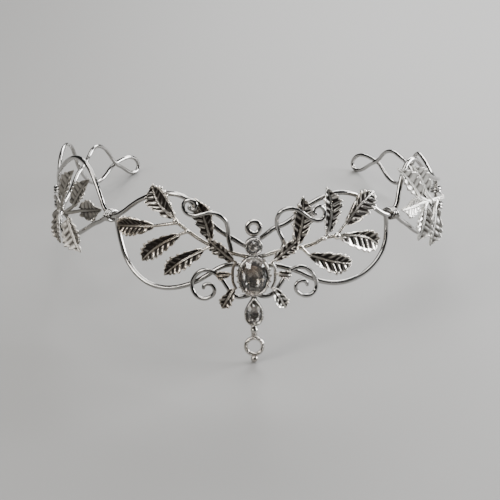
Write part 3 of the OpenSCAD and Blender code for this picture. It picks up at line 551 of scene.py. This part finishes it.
def blade_half(u, widest):
    """Half width of a blade, as a share of its greatest: widest is where along it that lies."""
    if not 0 < u < 1:
        return 0.0
    swing = math.sin(math.pi * u ** (math.log(0.5) / math.log(widest)))
    return swing ** (0.5 if u < widest else 0.95)


def leaf_point(u, v, form, back):
    """Point of a cast leaf as (along, across, height, relief), u from 0 to 1, v from -1 to 1.

    The form is width, length, the pattern's three values, midrib offset, widest place, height
    of the margins and a seed.
    """
    width, length, ribs, slot, shade, offset, widest, cup, seed = form
    shift, notch, brink, margin, spread, roll_rise = UPPER_HALF if v > 0 else LOWER_HALF
    reach = abs(v)
    half = max(width / 2 * blade_half(u, widest), BLADE_LEAST)
    fit = min(1.0, half / BLADE_FULL)

    # Slightly uneven ribs, swept towards the tip, with a rounded tooth at the end of each
    turn = ribs * (u * 0.95 + 0.02) + shift
    turn += 0.16 * math.sin(5.3 * u + seed) + 0.08 * math.sin(17 * u + 2 * seed + v)
    crest = 0.5 - 0.5 * math.cos(2 * math.pi * (turn % 1.0) ** 1.15)
    tooth = crest ** 0.55
    across = (v + offset * (1 - v * v)) * half * (1 - notch * fit * (1 - tooth) * reach ** 2)
    sweep = (1 - u * u) * half * (0.72 * reach + 0.16 * tooth * reach ** 3)
    along = u * length + sweep * min(1.0, u / 0.2)

    # Blade: its margins stand up, and it rounds over to nothing at its ends and margins
    rim = cup * min(1.0, half / 2.2) * reach ** 1.35
    ends = min(1.0, u / 0.04, (1 - u) / 0.03)
    edge = max(0.0, (reach - brink) / (1 - brink))
    thick = math.sqrt(max(0.0, 1 - edge * edge)) * math.sqrt(max(0.0, 1 - (1 - ends) ** 2))
    body = BLADE_THICK * (1 - 0.35 * u)
    if back:
        return along, across, rim - body - body * thick, 0.52 + 0.48 * edge

    # Grooved midrib between two trenches, ribs that swell away from it, and the rolled margin
    near = reach * half / (MIDRIB_HALF * (1 - 0.5 * u))
    midrib = MIDRIB_RISE * (1 - 0.55 * u) * math.sqrt(max(0.0, 1 - near * near))
    midrib -= MIDRIB_GROOVE * math.exp(-(near / 0.32) ** 2)
    trench = TRENCH * math.exp(-((near - 1.45) / 0.5) ** 2)
    swell = min(1.0, max(0.0, near - 1) / 1.2) * (1 - 0.75 * max(0.0, (reach - 0.82) / 0.18))
    narrow = crest ** (0.85 - 0.45 * reach)
    roll = math.exp(-((min(reach, margin) - margin) / spread) ** 2)
    height = rim - body + body * thick + thick * (
        midrib - trench + RIB_RISE * (1 - slot) * (narrow - 0.5) * swell * fit
        + roll_rise * roll * fit * tooth)

    # Relief: bright on the ribs, the midrib's flanks and the margin, dark in the slots, and cut
    # on the upper half as painted shade
    relief = slot + (0.9 - slot) * narrow
    # Painted shade: the upper half is darkened by the pattern's share, as if it faced away from
    # the light
    if v > 0:
        relief *= shade
    if near < 1.0:
        relief = 0.5 + 0.5 * min(1.0, near / 0.45)
    elif near < 1.9:
        relief *= 0.15 + 0.85 * (near - 1) / 0.9
    return along, across, height, max(relief, 1.05 * roll)


def add_leaf(bm, side, row, pattern, columns=98, rows=50):
    """Serrated, veined leaf: two grids shaped as its face and back, merged at the margin."""
    _, base, tip, width, roll, base_out, tip_out, bow, offset, widest, cup = row
    base, tip = Vector(base), Vector(tip)
    span = tip - base
    length = span.length
    ahead = span / length
    beside = Vector((-ahead.y, ahead.x))
    form = (width, length, *pattern, offset, widest, cup, base.x + 3 * base.y)
    roll = math.radians(roll)
    layer = relief_layer(bm)
    made = []
    for back in (False, True):
        grid = bmesh.ops.create_grid(bm, x_segments=columns, y_segments=rows, size=0.5)
        for vert in grid["verts"]:
            u, y = vert.co.x + 0.5, abs(vert.co.y) * 2
            v = 0.5 * y + 0.25 * (1 - math.cos(math.pi * y))
            along, across, height, relief = leaf_point(
                u, math.copysign(v, vert.co.y), form, back)
            arch = math.sin(math.pi * u)
            out = (base_out + (tip_out - base_out) * u + BLADE_ARCH * arch
                   + across * math.sin(roll) + height)
            flat = base + along * ahead + beside * (across * math.cos(roll) + bow * arch)
            vert.co = band_place(side, flat.x, flat.y, out)
            vert[layer] = relief
        made += grid["verts"]
    bmesh.ops.remove_doubles(bm, verts=made, dist=LEAF_MARGIN)


def add_stalk(bm, side, row, from_out, gauge):
    """Short wire from the stem to a leaf, run a little way in under its midrib."""
    stalk, base, tip = row[0], Vector(row[1]), Vector(row[2])
    inside = base + (tip - base).normalized() * STALK_REACH
    middle = (Vector(stalk) + base) / 2
    rows = [(*stalk, from_out), (*middle, (from_out + row[5]) / 2), (*base, row[5]),
            (*inside, row[5] + STALK_LIFT)]
    add_wire(bm, along_band(side, rows), gauge, gauge * STALK_TAPER, relief=0.78, roundness=3)


def sprig_piece(name, side, stem, leaves, node, pattern, finish, strand, knots=()):
    """Cast sprig: a stem of two strands, and leaves on short stalks with a knot at each.

    Further knots are rows of s, t, o and radius.
    """
    bm = bmesh.new()
    for offset in (-STRAND_OFFSET, STRAND_OFFSET):
        rows = []
        for i, (s, t, o) in enumerate(stem):
            ahead = Vector(stem[min(i + 1, len(stem) - 1)][:2]) - Vector(stem[max(i - 1, 0)][:2])
            beside = Vector((-ahead.y, ahead.x)).normalized() * offset
            rows.append((s + beside.x, t + beside.y, o))
        add_wire(bm, along_band(side, rows), strand, strand * STEM_TAPER, relief=0.85,
                 roundness=3)
    stem_out = stem[2][2]
    for row in leaves:
        add_leaf(bm, side, row, pattern)
        add_stalk(bm, side, row, stem_out, strand * STALK_SHARE)
        knot = band_place(side, *row[0], stem_out + 0.2)
        add_ball(bm, Matrix.Translation(knot) @ Matrix.Scale(KNOT_RADIUS * MM, 4))
    for s, t, o, radius in knots:
        add_ball(bm, Matrix.Translation(band_place(side, s, t, o))
                 @ Matrix.Scale(radius * MM, 4))
    finish_piece(name, bm, finish, node)


# Centre drop: heights of its pieces up the band, and their outward places

EYE_T, ROUND_T, OVAL_T, PEAR_T, KNOT_T = -1.6, -8.0, -18.6, -31.4, -38.6
DROP_T, RING_T = -49.034, -44.434
SETTING_OUT, FLOOR_OUT, GIRDLE_OUT, RIM_OUT = 1.0, 2.0, 4.0, 4.5
# Half sizes of the stones, walls of their cups, and the gap between
ROUND_R, OVAL_RX, OVAL_RY, PEAR_RX, PEAR_H = 2.3, 4.9, 6.4, 3.0, 8.6
CUP_WALL, STONE_GAP = 0.8, 0.1
CUP_EDGE = CUP_WALL + STONE_GAP
# How much the pear narrows to its point, and how late
PEAR_POINT, PEAR_SWELL = 0.72, 2.2
# Eye at the top, back bar, knot and last ball, finial ring, and the two collars of the knot
EYE_R, EYE_WIRE, EYE_FLAT = 2.15, 1.9, 0.72
BAR_HALF, BAR_FOOT, BAR_EDGE = 1.1, 2.7, 0.3
BALL_R = 1.3
FINIAL_R, FINIAL_WIRE = 3.0, 1.4
COLLAR_R, COLLAR_WIRE, COLLAR_SHIFT = 0.55, 0.5, 1.0


def oval_outline(rx, ry):
    """Outline of an oval stone: its place at an angle, grown by so many millimetres."""
    return lambda angle, grow: ((rx + grow) * math.cos(angle), (ry + grow) * math.sin(angle))


def pear_outline(rx, h):
    """Outline of a pear-shaped stone, point upwards."""
    def place(angle, grow):
        point = (1 + math.sin(angle)) / 2
        return ((rx + grow) * math.cos(angle) * (1 - PEAR_POINT * point ** PEAR_SWELL),
                (h / 2 + grow) * math.sin(angle))
    return place


ROUND_LINE = oval_outline(ROUND_R, ROUND_R)
OVAL_LINE = oval_outline(OVAL_RX, OVAL_RY)
PEAR_LINE = pear_outline(PEAR_RX, PEAR_H)
# Section of a cup, from its back over the rim to its floor: growth past the stone's outline,
# outward place and relief
CUP_SECTION = [
    (CUP_EDGE - 0.25, SETTING_OUT, 0.7), (CUP_EDGE, SETTING_OUT + 0.25, 0.6),
    (CUP_EDGE, FLOOR_OUT + 0.3, 0.25), (CUP_EDGE - 0.12, FLOOR_OUT + 0.75, 0.3),
    (CUP_EDGE - 0.1, RIM_OUT - 0.75, 0.55), (CUP_EDGE, RIM_OUT - 0.5, 0.85),
    (CUP_EDGE - 0.02, RIM_OUT - 0.25, 1.0), (CUP_EDGE - 0.15, RIM_OUT - 0.06, 1.0),
    (CUP_EDGE - 0.4, RIM_OUT, 1.0), (STONE_GAP + 0.12, RIM_OUT - 0.08, 0.9),
    (STONE_GAP - 0.05, RIM_OUT - 0.3, 0.6), (STONE_GAP, RIM_OUT - 0.55, 0.9),
    (STONE_GAP, FLOOR_OUT, 1.2)]
# Rows of beads: outline, its middle, growth past it, count, radius and outward place
BEAD_ROWS = [
    (OVAL_LINE, OVAL_T, CUP_EDGE + 0.15, 22, 0.46, FLOOR_OUT + 0.6),
    (OVAL_LINE, OVAL_T, CUP_EDGE - 0.42, 44, 0.2, RIM_OUT - 0.02),
    (ROUND_LINE, ROUND_T, CUP_EDGE - 0.42, 22, 0.18, RIM_OUT - 0.02),
    (PEAR_LINE, PEAR_T, CUP_EDGE - 0.42, 30, 0.18, RIM_OUT - 0.02),
    (oval_outline(FINIAL_R, FINIAL_R), RING_T, 0, 16, 0.3, FLOOR_OUT + 0.62)]


def flat_place(vert):
    """Key of the vertex's place across a cup, by which its angle is found again."""
    return round(vert.co.x, 6), round(vert.co.y, 6)


def add_cup(bm, outline, centre_t, segments):
    """Cup of a stone: its wall is extruded ring by ring, over the rim and down to the floor."""
    layer = relief_layer(bm)
    ring = bmesh.ops.create_circle(bm, segments=segments, radius=1, cap_ends=False)["verts"]
    angle_at = {flat_place(vert): math.atan2(vert.co.y, vert.co.x) for vert in ring}
    edges = back_edges = edges_of(ring)
    cup_verts = []
    for grow, out, relief in CUP_SECTION:
        if cup_verts:
            made = bmesh.ops.extrude_edge_only(bm, edges=edges)["geom"]
            ring = [item for item in made if isinstance(item, bmesh.types.BMVert)]
            edges = [item for item in made if isinstance(item, bmesh.types.BMEdge)
                     and all(vert in ring for vert in item.verts)]
        angles = {vert: angle_at[flat_place(vert)] for vert in ring}
        for vert, angle in angles.items():
            vert.co.x, vert.co.y = outline(angle, grow)
            vert.co.z = out
            vert[layer] = relief
        angle_at = {flat_place(vert): angle for vert, angle in angles.items()}
        cup_verts += ring
    bmesh.ops.holes_fill(bm, edges=edges, sides=0)
    bmesh.ops.holes_fill(bm, edges=back_edges, sides=0)
    bmesh.ops.transform(bm, matrix=STAND @ Matrix.Translation((0, centre_t, 0)),
                        verts=cup_verts)


def add_beads(bm, outline, centre_t, grow, count, radius, out):
    """Row of small balls along the outline of a stone."""
    for i in range(count):
        x, y = outline(2 * math.pi * i / count, grow)
        place = STAND @ Matrix.Translation((x, centre_t + y, out))
        add_ball(bm, place @ Matrix.Scale(radius, 4), segments=12)


def add_ring(bm, centre_t, out, radius, gauge, flatten=1.0, relief=1.0):
    """Closed round ring, spun from the circle of its wire."""
    relief_layer(bm)
    before = set(bm.verts)
    circle = bmesh.ops.create_circle(bm, segments=16, radius=gauge / 2,
                                     matrix=Matrix.Translation((radius, 0, 0))
                                     @ Matrix.Rotation(math.pi / 2, 4, "X"))["verts"]
    for vert in circle:
        vert.co.z *= flatten
    bmesh.ops.spin(bm, geom=circle + edges_of(circle), cent=(0, 0, 0), axis=(0, 0, 1),
                   angle=2 * math.pi, steps=56, use_merge=True)
    bmesh.ops.transform(bm, matrix=STAND @ Matrix.Translation((0, centre_t, out)),
                        verts=added(bm, before, relief))


def add_bar(bm, low, high):
    """Flat back bar with rounded edges, which joins the cups."""
    before = set(bm.verts)
    made = bmesh.ops.create_cube(bm, size=1)["verts"]
    size = Matrix.Diagonal((2 * BAR_HALF, high - low, FLOOR_OUT - SETTING_OUT, 1))
    centre = Matrix.Translation((0, (low + high) / 2, (SETTING_OUT + FLOOR_OUT) / 2))
    bmesh.ops.transform(bm, matrix=STAND @ centre @ size, verts=made)
    bmesh.ops.bevel(bm, geom=edges_of(made), offset=BAR_EDGE * MM, affect="EDGES", segments=3,
                    profile=0.5, material=-1)
    added(bm, before, 0.7)


def centre_setting():
    """Three cups, back bar, knot, finial ring and last ball, soldered into one."""
    bm = bmesh.new()
    for outline, centre_t, segments in ((ROUND_LINE, ROUND_T, 48), (OVAL_LINE, OVAL_T, 80),
                                        (PEAR_LINE, PEAR_T, 72)):
        add_cup(bm, outline, centre_t, segments)
    for row in BEAD_ROWS:
        add_beads(bm, *row)
    add_bar(bm, RING_T + BAR_FOOT, ROUND_T)
    for ball_t in (KNOT_T, DROP_T):
        place = STAND @ Matrix.Translation((0, ball_t, FLOOR_OUT))
        add_ball(bm, place @ Matrix.Scale(BALL_R, 4), segments=28)
    for shift in (-COLLAR_SHIFT, COLLAR_SHIFT):
        add_ring(bm, KNOT_T + shift, FLOOR_OUT, COLLAR_R, COLLAR_WIRE, relief=0.8)
    add_ring(bm, RING_T, FLOOR_OUT, FINIAL_R, FINIAL_WIRE)
    finish_piece("centre_cups", bm, SETTING_SILVER, "centre_setting")


def eye():
    """Ring at the top of the centre piece."""
    bm = bmesh.new()
    add_ring(bm, EYE_T, FLOOR_OUT, EYE_R, EYE_WIRE, flatten=EYE_FLAT)
    finish_piece("top_eye", bm, SETTING_SILVER, "eye_ring")


def centre_fan(name, side, node):
    """Three small leaves on a bent branch beside the oval stone."""
    bm = bmesh.new()
    add_wire(bm, along_band(side, CENTRE_BRANCH), FAN_BRANCH, relief=0.75, roundness=3)
    for row in CENTRE_LEAVES:
        add_leaf(bm, side, row, FAN_RIBS, columns=64, rows=36)
        add_stalk(bm, side, row, CENTRE_BRANCH[0][2], FAN_STALK)
    finish_piece(name, bm, BROW_SILVER[side], node)


def cut_stone(name, outline, centre_t, crown, depth, node, mains):
    """Faceted stone as the hull of its table, star, girdle and pavilion corners."""
    bm = bmesh.new()
    # Share of the outline, height, number of corners, and their turn as a share of one step
    rows = [(0.56, crown, mains, 0.0), (0.79, crown * 0.62, mains, 0.5),
            (1.0, 0.1, mains * 2, 0.25), (1.0, -0.1, mains * 2, 0.25),
            (0.52, -depth * 0.62, mains, 0.5)]
    for grow, height, count, turn in rows:
        for i in range(count):
            x, y = outline(2 * math.pi * (i + turn) / count, 0)
            bm.verts.new((x * grow, y * grow, height))
    bm.verts.new((0, 0, -depth))
    bmesh.ops.convex_hull(bm, input=bm.verts)
    loose = [vert for vert in bm.verts if not vert.link_faces]
    bmesh.ops.delete(bm, geom=loose, context="VERTS")
    bmesh.ops.dissolve_limit(bm, angle_limit=math.radians(1), verts=bm.verts, edges=bm.edges)
    bmesh.ops.transform(bm, matrix=STAND @ Matrix.Translation((0, centre_t, GIRDLE_OUT)),
                        verts=bm.verts)
    finish_piece(name, bm, STONE, node, smooth=False)


for side, word in ((LEFT, "left"), (RIGHT, "right")):
    wire_piece("brow_wire_" + word, side, [FRONT_UPPER[side], FRONT_LOWER[side]], FRAME_WIRE,
               "front_frame_" + word, shift=FRAME_SHIFT)
    wire_piece("temple_wire_" + word, side, [SIDE_UPPER[side], SIDE_LOWER[side]], FRAME_WIRE,
               "side_frame_" + word, shift=FRAME_SHIFT)
    wire_piece("arm_wire_" + word, side, [ARM_OUT[side] + END_LOOP + ARM_BACK[side]],
               ARM_WIRE, "back_arm_" + word)
    wire_piece("high_scroll_" + word, side, [UPPER_SCROLL[side]], SCROLL_WIRE,
               "upper_scroll_" + word, end_gauge=SCROLL_WIRE * SCROLL_TAPER)
    wire_piece("low_scroll_" + word, side, [LOWER_SCROLL[side]], SCROLL_WIRE,
               "lower_scroll_" + word, end_gauge=SCROLL_WIRE * SCROLL_TAPER)
    wrap_piece("temple_coil_" + word, side, TEMPLE_WRAP[side], TEMPLE_TURNS, WRAP_LONG,
               WRAP_SHORT, "temple_wrap_" + word)
    for place, level in zip(REAR_WRAPS[side], ("upper_", "lower_")):
        wrap_piece("rear_coil_" + level + word, side, place, REAR_TURNS, WRAP_SHORT, WRAP_LONG,
                   "rear_wrap_" + level + word, upright=True)
    sprig_piece("brow_leaves_" + word, side, FRONT_STEM[side], FRONT_LEAVES[side],
                "front_sprig_" + word, BROW_RIBS[side], BROW_SILVER[side], BROW_STRAND,
                BROW_KNOTS[side])
    sprig_piece("temple_leaves_" + word, side, SIDE_STEM[side], SIDE_LEAVES[side],
                "side_sprig_" + word, TEMPLE_RIBS, TEMPLE_SILVER[side], TEMPLE_STRAND)
    centre_fan("leaf_fan_" + word, side, "centre_leaf_" + word)

centre_setting()
eye()
# Outline and middle of each stone, height of its crown, depth below the girdle, node and number
# of main facets
cut_stone("round_gem", ROUND_LINE, ROUND_T, 0.95, 1.6, "round_stone", 8)
cut_stone("oval_gem", OVAL_LINE, OVAL_T, 1.9, 1.85, "oval_stone", 12)
cut_stone("pear_gem", PEAR_LINE, PEAR_T, 1.3, 1.75, "pear_stone", 10)


# Floor, light and camera

# Half the side of the floor in metres
FLOOR_REACH = 4
# The photograph's view: heights and turns in degrees, metres, and pixels of its width
VIEW_ELEVATION, VIEW_AZIMUTH, VIEW_DISTANCE = 27.907, -1.253, 0.576
VIEW_CENTRE = (0.55, 80 + SHIFT, -5.428)
FOCAL_PIXELS, PICTURE_PIXELS, SENSOR = 1370.44, 500, 36


def studio_floor():
    """Pale matt floor at height 0."""
    material = bpy.data.materials.new("pale_floor")
    material.use_nodes = True
    shader = material.node_tree.nodes["Principled BSDF"]
    shader.inputs["Base Color"].default_value = (0.24, 0.238, 0.232, 1)
    shader.inputs["Roughness"].default_value = 0.6
    bm = bmesh.new()
    bmesh.ops.create_grid(bm, x_segments=1, y_segments=1, size=FLOOR_REACH)
    mesh = bpy.data.meshes.new("floor")
    bm.to_mesh(mesh)
    bm.free()
    mesh.materials.append(material)
    floor = bpy.data.objects.new("floor", mesh)
    bpy.context.scene.collection.objects.link(floor)


def soft_light(name, place, target, width, height, power, colour):
    """Rectangular lamp at the place, aimed at the target."""
    data = bpy.data.lights.new(name, "AREA")
    data.shape = "RECTANGLE"
    data.size, data.size_y = width, height
    data.energy = power
    data.color = colour
    lamp = bpy.data.objects.new(name, data)
    lamp.location = place
    aim = Vector(target) - Vector(place)
    lamp.rotation_euler = aim.to_track_quat("-Z", "Y").to_euler()
    bpy.context.scene.collection.objects.link(lamp)


def studio():
    """Dim even surroundings and four soft lamps."""
    world = bpy.data.worlds.new("studio")
    world.use_nodes = True
    background = world.node_tree.nodes["Background"]
    background.inputs["Color"].default_value = (0.52, 0.53, 0.55, 1)
    background.inputs["Strength"].default_value = 0.05
    bpy.context.scene.world = world
    centre = (0, 0, 0.03)
    soft_light("top_light", (-0.1, 0.1, 0.95), centre, 0.9, 0.7, 10, (1, 0.99, 0.97))
    soft_light("key_light", (-0.65, -0.4, 0.6), centre, 0.3, 0.4, 6, (1, 0.97, 0.93))
    soft_light("back_light", (0.3, 0.85, 0.45), centre, 0.8, 0.3, 11, (1, 1, 1))
    soft_light("side_light", (0.78, 0.16, 0.28), centre, 0.5, 0.4, 19, (0.97, 0.98, 1))


def photo_camera():
    """Camera at the photograph's viewing angle."""
    elevation, azimuth = math.radians(VIEW_ELEVATION), math.radians(VIEW_AZIMUTH)
    target = Vector(VIEW_CENTRE) * MM
    data = bpy.data.cameras.new("photo_camera")
    data.sensor_width = SENSOR
    data.lens = FOCAL_PIXELS / PICTURE_PIXELS * SENSOR
    data.clip_start = 0.01
    camera = bpy.data.objects.new("photo_camera", data)
    away = Vector((math.sin(azimuth) * math.cos(elevation),
                   -math.cos(azimuth) * math.cos(elevation), math.sin(elevation)))
    camera.location = target + away * VIEW_DISTANCE
    camera.rotation_euler = (-away).to_track_quat("-Z", "Y").to_euler()
    bpy.context.scene.collection.objects.link(camera)
    bpy.context.scene.camera = camera


studio_floor()
studio()
photo_camera()
